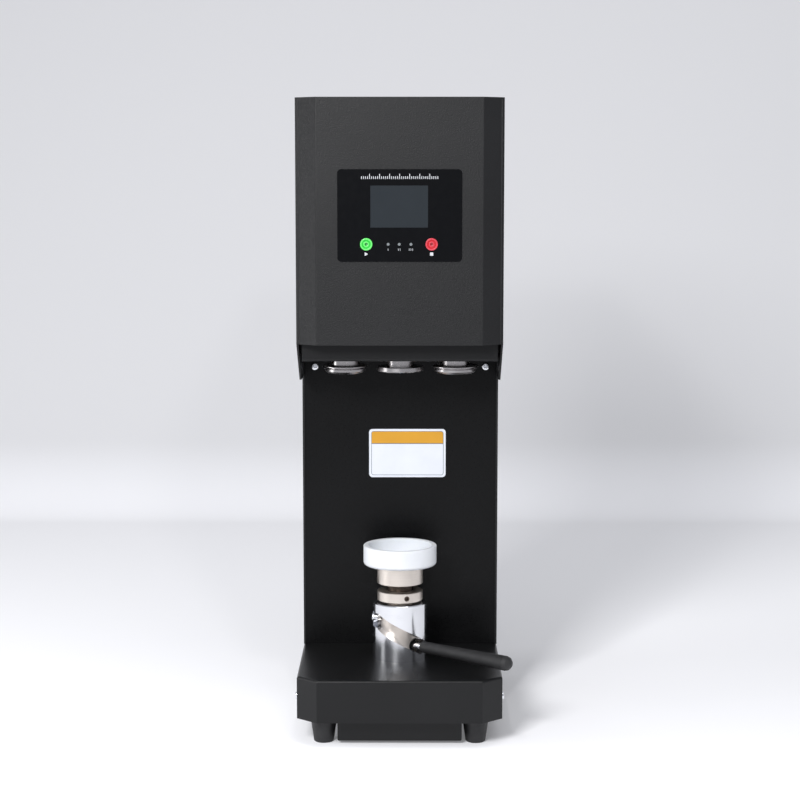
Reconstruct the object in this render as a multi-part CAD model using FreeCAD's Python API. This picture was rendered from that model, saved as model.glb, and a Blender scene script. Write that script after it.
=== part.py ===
"""Desktop can seamer: a cabinet of bent sheet, a cam-lift can seat and a two-roller seaming head.

Millimetres. X runs across the machine, -Y is the front, Z is up. The origin is on the floor, under the
middle of the machine's outline. Every piece is built where it stands, with the can seat down and the
rollers out.
"""

import FreeCAD, Part

import math
import os

from FreeCAD import Placement, Rotation
from FreeCAD import Vector as V

os.makedirs("parts", exist_ok=True)

# cabinet
HALF_WIDTH = 105.0
SHEET = 2.0
BASE_FRONT_Y = -146.0
REAR_Y = 144.0
CORNER_RUN_X = 21.0
BASE_CORNER_Y = -128.0
HEAD_FRONT_Y = -114.0
HEAD_CORNER_Y = -98.0
COLUMN_Y = 6.5
COLUMN_RECESS = 1.5
BEND_R = 2.5
INNER_X = HALF_WIDTH - SHEET

# heights
FOOT_H = 28.0
BASE_TOP = 72.0
SIDE_EDGE_Z = 367.3
SIDE_EDGE_Y = -44.0
COVER_BOTTOM = 409.5
TOP_Z = 657.0

# lift column, all on the can axis
CAN_Y = -46.0
SLEEVE_R = 28.5
SHAFT_R = 20.4
SLEEVE_TOP = 131.9
RUNNING_FIT = 0.05
BODY_GAP = 0.3
ROD_Z = 87.0
ROD_AZIMUTH = 51.3
ROD_R = 4.0
POCKET_FLOOR = 12.5
LIFT_RISE = 27.0
LIFT_TURN = 106.0
DWELL_TURN = 24.0
SLOT_HALF = 7.85
STOP_AZIMUTH = -94.0
STOP_R = 5.8
STEM_R = 13.2
SPIGOT_R = 8.0
COLLAR_R = 23.9
COLLAR_Z = (133.9, 144.1)
HUB_R = 24.1
HUB_Z = (152.0, 171.5)
CUP_R = 38.5
CUP_TOP = 192.5
RECESS_R = 33.3
RECESS_FLOOR = 178.0
ROD_END = 70.0
GRIP_START = 30.0
GRIP_END = 145.2

# seaming head
PLATE_Z = 391.0
PLATE_T = 3.0
RAIL_T = 3.2
PLATE_HALF = INNER_X - RAIL_T
PLATE_Y = (CAN_Y - 45.0, 100.0)
FLANGE_TOP = PLATE_Z + 29.0
DECK_Z = PLATE_Z + 79.0
DECK_T = 6.0
DECK_TOP = DECK_Z + DECK_T
DECK_HALF = PLATE_HALF - 2.8
CHUCK_R = 24.5
CHUCK_Z = PLATE_Z - 14.0
SPINDLE_R = 12.0
SPINDLE_TOP_R = 9.0
SPINDLE_NOSE_R = 8.0
CHUCK_HUB_TOP = PLATE_Z - 1.5
CHUCK_SCREW_R = 3.0
CHUCK_SCREW_TOP = PLATE_Z + 5.0
PULLEY_R = 24.0
PULLEY_Z = (DECK_Z - 32.0, DECK_Z - 14.0)
MOTOR_Y = 94.0
MOTOR_HEADROOM = 63.0
MOTOR_SHAFT_TOP = DECK_TOP + 24.0
MOTOR_SHAFT_R = 7.0
FEED_Y = CAN_Y + 95.0
FEED_MOTOR_H = 56.0
FEED_SHAFT_R = 4.0
CAM_R = 20.0
CAM_OFFSET = 12.0
ARM_Z = (PLATE_Z + 7.0, PLATE_Z + 17.0)
ROLLER_X = 57.5
PIVOT = (40.0, CAN_Y + 48.0)
TAIL_R = 5.0
TAIL_SLACK = 0.6
TAIL = (CAM_R + TAIL_R + TAIL_SLACK, FEED_Y + CAM_OFFSET)
ARM_SWING = 9.0
PIN_R = 5.0
PIN_HEAD_R = 7.0
ROLLER_SEAT = 2.7
ROLLER_BOTTOM = PLATE_Z - 16.0
ROLLER_TOP = PLATE_Z - 2.0

# control panel on the head's front
PANEL_HALF = 62.2
PANEL_Z = (493.9, 585.7)
PANEL_T = 1.0
WINDOW_X = (-29.5, 28.5)
WINDOW_Z = (527.6, 569.9)
BUTTON_X = (-33.4, 32.0)
BUTTON_Z = 511.2
BUTTON_R = 6.2
LED_X = (-11.5, -0.4, 11.3)
LED_R = 1.4
BOARD_Y = -106.0

# back panel
INLET = (-30.0, 105.0)
SWITCH = (30.0, 105.0)
ROCKER_R = 9.5
ROCKER_TILT = 10.0
SCREW_R = 2.0
SCREW_HEAD_R = 4.0
SCREW_HEAD_H = 2.8


def save(name, *shapes):
    """One node. Several shapes stay separate solids of it."""
    shape = shapes[0] if len(shapes) == 1 else Part.makeCompound(list(shapes))
    shape.exportStep(f"parts/{name}.step")


def box(x, y, z):
    return Part.makeBox(x[1] - x[0], y[1] - y[0], z[1] - z[0], V(x[0], y[0], z[0]))


def cylinder(x, y, z, radius):
    return Part.makeCylinder(radius, z[1] - z[0], V(x, y, z[0]))


def tube(x, y, z, outer, inner):
    return cylinder(x, y, z, outer).cut(cylinder(x, y, z, inner))


def cross(x, z, y, radius):
    """A cylinder along Y."""
    return Part.makeCylinder(radius, y[1] - y[0], V(x, y[0], z), V(0, 1, 0))


def turned(x, y, profile):
    """A solid of revolution about the vertical through x, y. The profile is (radius, z) corners."""
    corners = [V(r, 0, z) for r, z in profile]
    solid = Part.Face(Part.makePolygon(corners + corners[:1])).revolve(V(0, 0, 0), V(0, 0, 1), 360)
    solid.translate(V(x, y, 0))
    return solid


def prism(corners, z, inset=0.0):
    """A plan outline, drawn in by inset, raised from z[0] to z[1]."""
    points = [V(x, y, z[0]) for x, y in corners]
    face = Part.Face(Part.makePolygon(points + points[:1]))
    if inset:
        face = face.makeOffset2D(-inset, join=2)
    return face.extrude(V(0, 0, z[1] - z[0]))


def mirrored(shape):
    return shape.mirror(V(0, 0, 0), V(1, 0, 0))


def both_sides(shape):
    return [shape, mirrored(shape)]


def cabinet_plan(front_y, corner_y, rear_y):
    """The cabinet's outline in plan: square behind, with its two front corners cut off."""
    near = HALF_WIDTH - CORNER_RUN_X
    right = [(near, front_y), (HALF_WIDTH, corner_y), (HALF_WIDTH, rear_y)]
    return right + [(-x, y) for x, y in reversed(right)]


def bent(solid, keep):
    """Rounds the outside of the sheet's bends: the edges whose middle passes keep."""
    edges = [e for e in solid.Edges if keep(e.CenterOfMass)]
    return solid.makeFillet(BEND_R, edges)


def screw(x, y, z, way, length):
    """A pan-head screw whose head sits on the face at x, y, z and points along way."""
    dome = SCREW_HEAD_H * 0.55
    head = turned(0, 0, [(0, 0), (SCREW_HEAD_R, 0), (SCREW_HEAD_R, dome), (SCREW_HEAD_R - 1.2, SCREW_HEAD_H),
                         (0, SCREW_HEAD_H)])
    solid = head.fuse(cylinder(0, 0, (-length, 0), SCREW_R)).removeSplitter()
    solid.Placement = Placement(V(x, y, z), Rotation(V(0, 0, 1), V(*way)))
    return solid


def radial(azimuth, reach, z, radius):
    """A cylinder pointing out from the can axis. Azimuth 0 is the front and grows towards +X."""
    angle = math.radians(azimuth)
    way = V(math.sin(angle), -math.cos(angle), 0)
    start = V(0, CAN_Y, z) + way * reach[0]
    return Part.makeCylinder(radius, reach[1] - reach[0], start, way)


def turned_radial(azimuth, z, profile):
    """A solid of revolution about a line out from the can axis. The profile is (radius, reach) corners."""
    solid = turned(0, 0, profile)
    angle = math.radians(azimuth)
    way = V(math.sin(angle), -math.cos(angle), 0)
    solid.Placement = Placement(V(0, CAN_Y, z), Rotation(V(0, 0, 1), way))
    return solid


def link(a, a_r, b, b_r, z):
    """Two round bosses in plan, joined by their common tangents."""
    run = V(b[0] - a[0], b[1] - a[1], 0)
    heading = math.atan2(run.y, run.x)
    spread = math.acos((a_r - b_r) / run.Length)
    points = []
    for centre, radius, side in ((a, a_r, 1), (b, b_r, 1), (b, b_r, -1), (a, a_r, -1)):
        angle = heading + side * spread
        points.append((centre[0] + radius * math.cos(angle), centre[1] + radius * math.sin(angle)))
    return prism(points, z).multiFuse([cylinder(*a, z, a_r), cylinder(*b, z, b_r)]).removeSplitter()


# base

SIDE_SCREW_Y = (CAN_Y - 60.0, 104.0)
SIDE_SCREW_Z = 46.0
FOOT_X = 78.2
FOOT_Y = (CAN_Y - 66.0, REAR_Y - 32.0)
FOOT_R = 14.2
FOOT_SPOTS = [(sx * FOOT_X, y) for sx in (-1, 1) for y in FOOT_Y]
TRAY_HALF = FOOT_X - FOOT_R - BODY_GAP
TRAY_Y = (FOOT_Y[0] - FOOT_R, FOOT_Y[1] - FOOT_R)
TRAY_Z = 3.2


def base_side_screws():
    return [screw(s * HALF_WIDTH, y, SIDE_SCREW_Z, (s, 0, 0), 7.0) for s in (-1, 1) for y in SIDE_SCREW_Y]


def base_shell():
    plan = cabinet_plan(BASE_FRONT_Y, BASE_CORNER_Y, REAR_Y)
    shell = bent(prism(plan, (FOOT_H, BASE_TOP)), lambda m: m.z > BASE_TOP - 0.1 and m.y < REAR_Y - 1)
    shell = shell.cut(prism(plan, (FOOT_H, BASE_TOP - SHEET), SHEET))
    return shell.cut(base_side_screws())


def base_floor():
    plan = cabinet_plan(BASE_FRONT_Y, BASE_CORNER_Y, REAR_Y)
    floor = prism(plan, (FOOT_H, FOOT_H + SHEET), SHEET)
    run = (BASE_CORNER_Y + 10, REAR_Y - 26)
    flange = box((INNER_X - SHEET, INNER_X), run, (FOOT_H + SHEET, BASE_TOP - 10))
    return floor.multiFuse(both_sides(flange)).removeSplitter().cut(base_side_screws())


def base_tray():
    """A folded tray under the base, between its feet, that closes the base off from the table."""
    x, z = (-TRAY_HALF, TRAY_HALF), (TRAY_Z, FOOT_H)
    tray = bent(box(x, TRAY_Y, z), lambda m: m.z < TRAY_Z + 0.1)
    return tray.cut(box((x[0] + SHEET, x[1] - SHEET), (TRAY_Y[0] + SHEET, TRAY_Y[1] - SHEET),
                        (TRAY_Z + SHEET, FOOT_H)))


def feet():
    """Tapered rubber feet with a rounded tread and a deep hole for their screw."""
    tread_r, hole_r = 10.3, 4.0
    profile = [(hole_r, 0), (tread_r - 1, 0), (tread_r, 1), (FOOT_R, FOOT_H), (0, FOOT_H), (0, 8),
               (hole_r, 8)]
    return [turned(x, y, profile) for x, y in FOOT_SPOTS]


# lift column

def helical_slot():
    """The cam slot: a ramp that climbs LIFT_RISE over LIFT_TURN, a level stretch, and round ends."""
    wall = (SHAFT_R - 1.5, SLEEVE_R + 2.0)
    steepness = LIFT_RISE / math.radians(LIFT_TURN)
    middle = (wall[0] + wall[1]) / 2
    half_height = SLOT_HALF / math.cos(math.atan(steepness / SLEEVE_R))
    helix = Part.makeHelix(2 * math.pi * steepness, LIFT_RISE, middle, 0, True)
    section = [V(wall[i], 0, j * half_height) for i, j in ((0, -1), (1, -1), (1, 1), (0, 1))]
    ramp = Part.Wire(helix).makePipeShell([Part.Wire(Part.makePolygon(section + section[:1]))], True, True)
    ramp = Part.Solid(ramp) if ramp.ShapeType != "Solid" else ramp
    ramp.rotate(V(0, 0, 0), V(0, 0, 1), ROD_AZIMUTH - 90)
    ramp.translate(V(0, CAN_Y, ROD_Z))
    top_azimuth = ROD_AZIMUTH - LIFT_TURN
    top_z = ROD_Z + LIFT_RISE
    level = tube(0, CAN_Y, (top_z - SLOT_HALF, top_z + SLOT_HALF), wall[1], wall[0])
    wedge = Part.makeCylinder(wall[1] + 5, 40, V(0, CAN_Y, top_z - 20), V(0, 0, 1), DWELL_TURN)
    wedge.rotate(V(0, CAN_Y, 0), V(0, 0, 1), top_azimuth - DWELL_TURN - 90)
    ends = [radial(ROD_AZIMUTH, wall, ROD_Z, SLOT_HALF), radial(top_azimuth, wall, top_z, SLOT_HALF),
            radial(top_azimuth - DWELL_TURN, wall, top_z, SLOT_HALF)]
    return [ramp, level.common(wedge)] + ends


def stop_screw():
    reach = (SHAFT_R + 3.0, SLEEVE_R + 0.8)
    profile = [(0, reach[0]), (STOP_R, reach[0]), (STOP_R, reach[1] - 0.6), (STOP_R - 0.6, reach[1]),
               (0, reach[1])]
    return turned_radial(STOP_AZIMUTH, ROD_Z + LIFT_RISE, profile)


def lift_sleeve():
    bore = SHAFT_R + RUNNING_FIT
    bevel = 0.9
    sleeve = turned(0, CAN_Y, [(bore, BASE_TOP), (SLEEVE_R, BASE_TOP), (SLEEVE_R, SLEEVE_TOP - bevel),
                               (SLEEVE_R - bevel, SLEEVE_TOP), (bore, SLEEVE_TOP)])
    return sleeve.cut(helical_slot() + [stop_screw()])


def thrust_washer():
    return tube(0, CAN_Y, (BASE_TOP + BODY_GAP, BASE_TOP + 2.0), SHAFT_R - BODY_GAP, 6)


def rod_pocket():
    return radial(ROD_AZIMUTH, (POCKET_FLOOR, SHAFT_R + 1), ROD_Z, SLOT_HALF)


def rod_bush():
    """A nylon ring on the pocket's floor that holds the rod's foot square."""
    bush = radial(ROD_AZIMUTH, (POCKET_FLOOR, POCKET_FLOOR + 2.5), ROD_Z, SLOT_HALF - 0.2)
    return bush.cut(radial(ROD_AZIMUTH, (POCKET_FLOOR, POCKET_FLOOR + 2.5), ROD_Z, ROD_R))


def lift_shaft():
    bottom = BASE_TOP + 2.3
    top = SLEEVE_TOP - 2.0
    shaft = turned(0, CAN_Y, [(0, bottom), (SHAFT_R - 1, bottom), (SHAFT_R, bottom + 1), (SHAFT_R, top - 1),
                              (SHAFT_R - 1, top), (STEM_R, top), (STEM_R, HUB_Z[0] - BODY_GAP),
                              (SPIGOT_R, HUB_Z[0] - BODY_GAP), (SPIGOT_R, HUB_Z[1] - 5), (0, HUB_Z[1] - 5)])
    return shaft.cut([rod_pocket(), radial(ROD_AZIMUTH, (4, POCKET_FLOOR + 1), ROD_Z, ROD_R)])


def handle_rod():
    return radial(ROD_AZIMUTH, (4, ROD_END), ROD_Z, ROD_R)


def handle_grip():
    """A rubber sleeve that swells towards a domed tip."""
    near_r, far_r = 5.9, 7.7
    dome = far_r - 0.5
    rim = GRIP_END - dome
    steps = [math.radians(a) for a in (30, 60)]
    tip = [(far_r - dome * (1 - math.cos(a)), rim + dome * math.sin(a)) for a in steps]
    profile = [(ROD_R, GRIP_START), (near_r - 0.8, GRIP_START), (near_r, GRIP_START + 0.8), (far_r, rim)]
    profile += tip + [(0, GRIP_END), (0, ROD_END), (ROD_R, ROD_END)]
    return turned_radial(ROD_AZIMUTH, ROD_Z, profile)


COLLAR_SCREW_R = 2.8
COLLAR_SCREW_TURNS = [18.0 + 120 * i for i in range(3)]


def collar_screws():
    z = sum(COLLAR_Z) / 2
    socket = [radial(a, (COLLAR_R - 3, COLLAR_R), z, COLLAR_SCREW_R * 0.55) for a in COLLAR_SCREW_TURNS]
    return [radial(a, (STEM_R, COLLAR_R - 0.7), z, COLLAR_SCREW_R).cut(hole)
            for a, hole in zip(COLLAR_SCREW_TURNS, socket)]


def lock_collar():
    edge = 0.5
    low, high = COLLAR_Z
    ring = turned(0, CAN_Y, [(STEM_R, low), (COLLAR_R - edge, low), (COLLAR_R, low + edge),
                             (COLLAR_R, high - edge), (COLLAR_R - edge, high), (STEM_R, high)])
    middle = (low + high) / 2
    return ring.cut([radial(a, (STEM_R, COLLAR_R + 1), middle, COLLAR_SCREW_R) for a in COLLAR_SCREW_TURNS])


def cup_hub():
    bore = SPIGOT_R + RUNNING_FIT
    edge = 0.5
    low, high = HUB_Z
    return turned(0, CAN_Y, [(bore, low), (HUB_R - edge, low), (HUB_R, low + edge), (HUB_R, high - edge),
                             (HUB_R - edge, high), (0, high), (0, high - 4), (bore, high - 4)])


def can_cup():
    """The can seat: a round-bottomed cup with a stepped floor and a lead-in at its mouth."""
    round_r = 3.5
    lip = 0.6
    base = HUB_Z[1]
    corner = [(CUP_R - round_r * (1 - math.sin(a)), base + round_r * (1 - math.cos(a)))
              for a in (math.radians(t) for t in range(0, 91, 18))]
    mouth = [(CUP_R, CUP_TOP - lip), (CUP_R - lip, CUP_TOP), (RECESS_R + lip, CUP_TOP),
             (RECESS_R, CUP_TOP - lip)]
    floor = [(RECESS_R, RECESS_FLOOR), (24, RECESS_FLOOR), (22, RECESS_FLOOR - 2), (0, RECESS_FLOOR - 2)]
    return turned(0, CAN_Y, [(0, base)] + corner + mouth + floor)


# column

COLUMN_SCREW = (INNER_X - 11.5, PLATE_Z - 15.0)
POST = 23.0


def column_screws():
    return [screw(s * COLUMN_SCREW[0], COLUMN_Y + COLUMN_RECESS, COLUMN_SCREW[1], (0, -1, 0), 10.0)
            for s in (-1, 1)]


def column_front():
    y = COLUMN_Y + COLUMN_RECESS
    return box((-INNER_X, INNER_X), (y, y + SHEET), (BASE_TOP, PLATE_Z)).cut(column_screws())


def column_posts():
    near = COLUMN_Y + COLUMN_RECESS + SHEET
    wall = 2.5
    post = box((INNER_X - POST, INNER_X), (near, near + POST), (BASE_TOP, PLATE_Z))
    hollow = box((INNER_X - POST + wall, INNER_X - wall), (near + wall, near + POST - wall),
                 (BASE_TOP, PLATE_Z))
    return [p.cut(column_screws()) for p in both_sides(post.cut(hollow))]


def side_plate():
    """The right side of column and head in one sheet, with a return along the back for the back panel."""
    outline = [(REAR_Y, BASE_TOP), (REAR_Y, TOP_Z - SHEET), (HEAD_CORNER_Y, TOP_Z - SHEET),
               (HEAD_CORNER_Y, COVER_BOTTOM), (SIDE_EDGE_Y, SIDE_EDGE_Z), (COLUMN_Y, SIDE_EDGE_Z),
               (COLUMN_Y, BASE_TOP)]
    points = [V(INNER_X, y, z) for y, z in outline]
    plate = Part.Face(Part.makePolygon(points + points[:1])).extrude(V(SHEET, 0, 0))
    back = REAR_Y - SHEET
    flange = box((INNER_X - 14, INNER_X), (back - SHEET, back), (BASE_TOP, TOP_Z - SHEET))
    return plate.fuse(flange).removeSplitter().cut(rear_screws())


# back panel

REAR_SCREWS_A_SIDE = 4
REAR_SCREW_END = 20.0


def rear_screws():
    low, high = BASE_TOP + REAR_SCREW_END, TOP_Z - REAR_SCREW_END
    step = (high - low) / (REAR_SCREWS_A_SIDE - 1)
    return [screw(s * (INNER_X - 8), REAR_Y, low + step * i, (0, 1, 0), 6.0)
            for s in (-1, 1) for i in range(REAR_SCREWS_A_SIDE)]


def rear_cover():
    wall = (REAR_Y - SHEET, REAR_Y)
    panel = box((-INNER_X, INNER_X), wall, (BASE_TOP, TOP_Z - SHEET))
    slots = []
    for row in range(7):
        for x in (-42, 42):
            z = TOP_Z - 117 + 12 * row
            slot = box((x - 28, x + 28), wall, (z - 2, z + 2))
            slots.append(slot.multiFuse([cross(x - 28, z, wall, 2), cross(x + 28, z, wall, 2)]))
    inlet = box((INLET[0] - 13.5, INLET[0] + 13.5), wall, (INLET[1] - 9.5, INLET[1] + 9.5))
    switch = box((SWITCH[0] - 7, SWITCH[0] + 7), wall, (SWITCH[1] - 11, SWITCH[1] + 11))
    return panel.cut(slots + [inlet, switch] + rear_screws())


def power_inlet():
    """A three-pin appliance inlet: flange, body behind the panel, and pins in its well."""
    x, z = INLET
    flange = box((x - 16, x + 16), (REAR_Y, REAR_Y + 2.5), (z - 12, z + 12))
    body = box((x - 13.5, x + 13.5), (REAR_Y - 20, REAR_Y), (z - 9.5, z + 9.5))
    well = box((x - 11.5, x + 11.5), (REAR_Y - 16, REAR_Y + 3), (z - 7.5, z + 7.5))
    pins = [box((x + dx - 1, x + dx + 1), (REAR_Y - 16, REAR_Y - 2), (z + dz - 2, z + dz + 2))
            for dx, dz in ((-6, -2), (0, 2), (6, -2))]
    return flange.fuse(body).cut(well).multiFuse(pins).removeSplitter()


def switch_frame():
    x, z = SWITCH
    flange = box((x - 9, x + 9), (REAR_Y, REAR_Y + 1.5), (z - 13, z + 13))
    body = box((x - 7, x + 7), (REAR_Y - 14, REAR_Y), (z - 11, z + 11))
    hollow = box((x - 6, x + 6), (REAR_Y - 12.5, REAR_Y + 2), (z - 9.9, z + 9.9))
    return flange.fuse(body).cut(hollow).removeSplitter()


def power_rocker():
    """A drum with two flats on its face, turned so that the lower one stands upright."""
    x, z = SWITCH
    y = REAR_Y - 2.0
    drum = Part.makeCylinder(ROCKER_R, 11.2, V(x - 5.6, y, z), V(1, 0, 0))
    for side in (-1, 1):
        slab = box((x - 7, x + 7), (y + 4.6, y + 20), (z - 20, z + 20))
        slab.rotate(V(x, y, z), V(1, 0, 0), side * ROCKER_TILT)
        drum = drum.cut(slab)
    drum.rotate(V(x, y, z), V(1, 0, 0), ROCKER_TILT)
    return drum


# head cabinet

def panel_openings():
    depth = (HEAD_FRONT_Y - 5, HEAD_FRONT_Y + 5)
    window = box(WINDOW_X, depth, WINDOW_Z)
    holes = [cross(x, BUTTON_Z, depth, BUTTON_R + BODY_GAP) for x in BUTTON_X]
    return [window] + holes + [cross(x, BUTTON_Z, depth, LED_R) for x in LED_X]


def head_cover():
    """Front and both cut corners in one bent sheet, with tabs that lie inside the side plates."""
    plan = cabinet_plan(HEAD_FRONT_Y, HEAD_CORNER_Y, HEAD_CORNER_Y + 20)
    height = (COVER_BOTTOM, TOP_Z - SHEET)
    outside = bent(prism(plan, height), lambda m: abs(m.y - HEAD_FRONT_Y) < 0.1 and abs(m.x) > 1)
    shell = outside.cut(prism(plan, height, SHEET))
    behind = box((-HALF_WIDTH, HALF_WIDTH), (HEAD_CORNER_Y, HEAD_CORNER_Y + 20), height)
    tab = box((INNER_X - SHEET, INNER_X), (HEAD_CORNER_Y - 2.5, HEAD_CORNER_Y + 12), height)
    return shell.cut(behind).multiFuse(both_sides(tab)).removeSplitter().cut(panel_openings())


def top_screws():
    """Countersunk, so that the lid stays flat."""
    flush = [(0, TOP_Z), (SCREW_HEAD_R, TOP_Z), (SCREW_R, TOP_Z - SCREW_R), (SCREW_R, TOP_Z - 8),
             (0, TOP_Z - 8)]
    return [turned(s * (INNER_X - 8), y, flush) for s in (-1, 1) for y in (-70, 110)]


def top_cover():
    plan = cabinet_plan(HEAD_FRONT_Y, HEAD_CORNER_Y, REAR_Y)
    lid = prism(plan, (TOP_Z - SHEET, TOP_Z))
    run = (HEAD_CORNER_Y + 18, REAR_Y - 14)
    lip = box((INNER_X - 14, INNER_X), run, (TOP_Z - 2 * SHEET, TOP_Z - SHEET))
    edge = box((INNER_X - SHEET, INNER_X), run, (TOP_Z - 16, TOP_Z - SHEET))
    return lid.multiFuse(both_sides(lip) + both_sides(edge)).removeSplitter().cut(top_screws())


def control_overlay():
    panel = box((-PANEL_HALF, PANEL_HALF), (HEAD_FRONT_Y - PANEL_T, HEAD_FRONT_Y), PANEL_Z)
    corners = [e for e in panel.Edges if abs(e.tangentAt(e.FirstParameter).y) > 0.9]
    return panel.makeFillet(4.0, corners).cut(panel_openings())


def display_window():
    return box(WINDOW_X, (HEAD_FRONT_Y - PANEL_T + 0.2, HEAD_FRONT_Y + SHEET), WINDOW_Z)


def control_board():
    """Circuit board with the display module and one switch behind each button."""
    board = box((-56, 56), (BOARD_Y, BOARD_Y + 1.6), (PANEL_Z[0] + 4, PANEL_Z[1] - 4))
    module = box((WINDOW_X[0] - 2, WINDOW_X[1] + 2), (HEAD_FRONT_Y + SHEET, BOARD_Y),
                 (WINDOW_Z[0] - 2, WINDOW_Z[1] + 2))
    switches = [box((x - 3, x + 3), (BOARD_Y - 1, BOARD_Y), (BUTTON_Z - 3, BUTTON_Z + 3)) for x in BUTTON_X]
    return board.multiFuse([module] + switches).removeSplitter()


def board_standoffs():
    return [cross(x, z, (HEAD_FRONT_Y + SHEET, BOARD_Y), 2.5)
            for x in (-51, 51) for z in (PANEL_Z[0] + 9, PANEL_Z[1] - 9)]


def status_leds():
    return [cross(x, BUTTON_Z, (HEAD_FRONT_Y - PANEL_T - 0.3, BOARD_Y), LED_R) for x in LED_X]


def push_button(x):
    """A dished cap with a collar that keeps it behind the panel."""
    front = HEAD_FRONT_Y - PANEL_T - 1.2
    inside = HEAD_FRONT_Y + SHEET + BODY_GAP
    cap = cross(x, BUTTON_Z, (front, inside + 1), BUTTON_R)
    edges = [e for e in cap.Edges if abs(e.CenterOfMass.y - front) < 0.01]
    cap = cap.makeFillet(0.6, edges)
    dish = Part.makeSphere(8.0, V(x, front - 7.1, BUTTON_Z))
    return cap.cut(dish).fuse(cross(x, BUTTON_Z, (inside, inside + 1.2), BUTTON_R + 1.2)).removeSplitter()


# seaming head

PILLAR_R = 7.0
PILLARS = [(sx * (PLATE_HALF - 13.8), y) for sx in (-1, 1) for y in (CAN_Y - 30.0, 84.0)]


def arc_slot(side):
    """The opening for a roller pin, on its arc about the arm's pivot."""
    half_width = 8.5
    run = (ROLLER_X - PIVOT[0], CAN_Y - PIVOT[1])
    reach = math.hypot(*run)
    start = math.degrees(math.atan2(run[1], run[0])) - ARM_SWING
    height = (PLATE_Z - 1, PLATE_Z + PLATE_T + 1)
    sector = Part.makeCylinder(reach + half_width, height[1] - height[0], V(*PIVOT, height[0]), V(0, 0, 1),
                               2 * ARM_SWING)
    sector.rotate(V(*PIVOT, 0), V(0, 0, 1), start)
    slot = sector.cut(cylinder(*PIVOT, height, reach - half_width))
    for angle in (start, start + 2 * ARM_SWING):
        x = PIVOT[0] + reach * math.cos(math.radians(angle))
        y = PIVOT[1] + reach * math.sin(math.radians(angle))
        slot = slot.fuse(cylinder(x, y, height, half_width))
    return slot if side > 0 else mirrored(slot)


def head_plate():
    """The seaming plate, a tray whose front wall closes the head below its cover."""
    tray = box((-PLATE_HALF, PLATE_HALF), PLATE_Y, (PLATE_Z, FLANGE_TOP))
    inside = box((-PLATE_HALF + PLATE_T, PLATE_HALF - PLATE_T), (PLATE_Y[0] + PLATE_T, PLATE_Y[1] + 1),
                 (PLATE_Z + PLATE_T, FLANGE_TOP))
    tray = bent(tray, lambda m: m.z < PLATE_Z + 0.1 and m.y < PLATE_Y[0] + 0.1).cut(inside)
    holes = [arc_slot(1), arc_slot(-1), cylinder(0, CAN_Y, (PLATE_Z - 1, PLATE_Z + 5), 18)]
    holes += [cylinder(s * PIVOT[0], PIVOT[1], (PLATE_Z - 1, PLATE_Z + 5), PIN_R) for s in (-1, 1)]
    return tray.cut(holes)


def head_rails():
    """Bars between the tray and the side plates, set back from the tray's front."""
    run = (PLATE_Y[0] + 32, PLATE_Y[1] - 5)
    return both_sides(box((PLATE_HALF, INNER_X), run, (PLATE_Z + 6, PLATE_Z + 24)))


def deck_pillars():
    return [cylinder(x, y, (PLATE_Z + PLATE_T, DECK_Z), PILLAR_R) for x, y in PILLARS]


def motor_deck():
    deck = box((-DECK_HALF, DECK_HALF), (CAN_Y - 42, REAR_Y - 14), (DECK_Z, DECK_TOP))
    return deck.cut([cylinder(0, CAN_Y, (DECK_Z, DECK_TOP), SPINDLE_TOP_R + RUNNING_FIT),
                     cylinder(0, MOTOR_Y, (DECK_Z, DECK_TOP), MOTOR_SHAFT_R + 3)])


def spindle_housing():
    bore = SPINDLE_R + RUNNING_FIT
    top = PLATE_Z + PLATE_T
    return turned(0, CAN_Y, [(bore, PLATE_Z), (18, PLATE_Z), (18, top), (30, top), (30, top + 5),
                             (23, top + 6), (22, top + 40), (bore, top + 40)])


def spindle():
    nose_z, top = CHUCK_Z + 4, DECK_TOP + 3
    return turned(0, CAN_Y, [(CHUCK_SCREW_R, nose_z), (SPINDLE_NOSE_R, nose_z),
                             (SPINDLE_NOSE_R, CHUCK_HUB_TOP), (SPINDLE_R, CHUCK_HUB_TOP),
                             (SPINDLE_R, PULLEY_Z[0]), (SPINDLE_TOP_R, PULLEY_Z[0]), (SPINDLE_TOP_R, top),
                             (0, top), (0, CHUCK_SCREW_TOP), (CHUCK_SCREW_R, CHUCK_SCREW_TOP)])


def chuck():
    """The seaming chuck: a disc with a tapered lip that fits a lid's countersink, on a short hub."""
    low = CHUCK_Z
    hub_r = 14.6
    return turned(0, CAN_Y, [(CHUCK_SCREW_R, low + 3), (6, low + 3), (6, low), (CHUCK_R - 0.8, low),
                             (CHUCK_R, low + 0.8), (CHUCK_R - 0.3, low + 4.6), (CHUCK_R - 0.7, low + 5),
                             (hub_r, low + 5), (hub_r, CHUCK_HUB_TOP), (SPINDLE_NOSE_R, CHUCK_HUB_TOP),
                             (SPINDLE_NOSE_R, low + 4), (CHUCK_SCREW_R, low + 4)])


def chuck_screw():
    low = CHUCK_Z
    screw_body = turned(0, CAN_Y, [(0, low), (5.4, low), (6, low + 0.6), (6, low + 3),
                                   (CHUCK_SCREW_R, low + 3), (CHUCK_SCREW_R, CHUCK_SCREW_TOP),
                                   (0, CHUCK_SCREW_TOP)])
    return screw_body.cut(cylinder(0, CAN_Y, (low, low + 2), 2.5))


def pulley(y, bore):
    """A belt pulley with a rim on both sides of its belt face."""
    low, high = PULLEY_Z
    rim = PULLEY_R + 3.0
    return turned(0, y, [(bore, low), (rim - 1, low), (rim, low + 1), (rim, low + 2), (PULLEY_R, low + 2.6),
                         (PULLEY_R, high - 2.6), (rim, high - 2), (rim, high - 1), (rim - 1, high),
                         (bore, high)])


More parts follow.
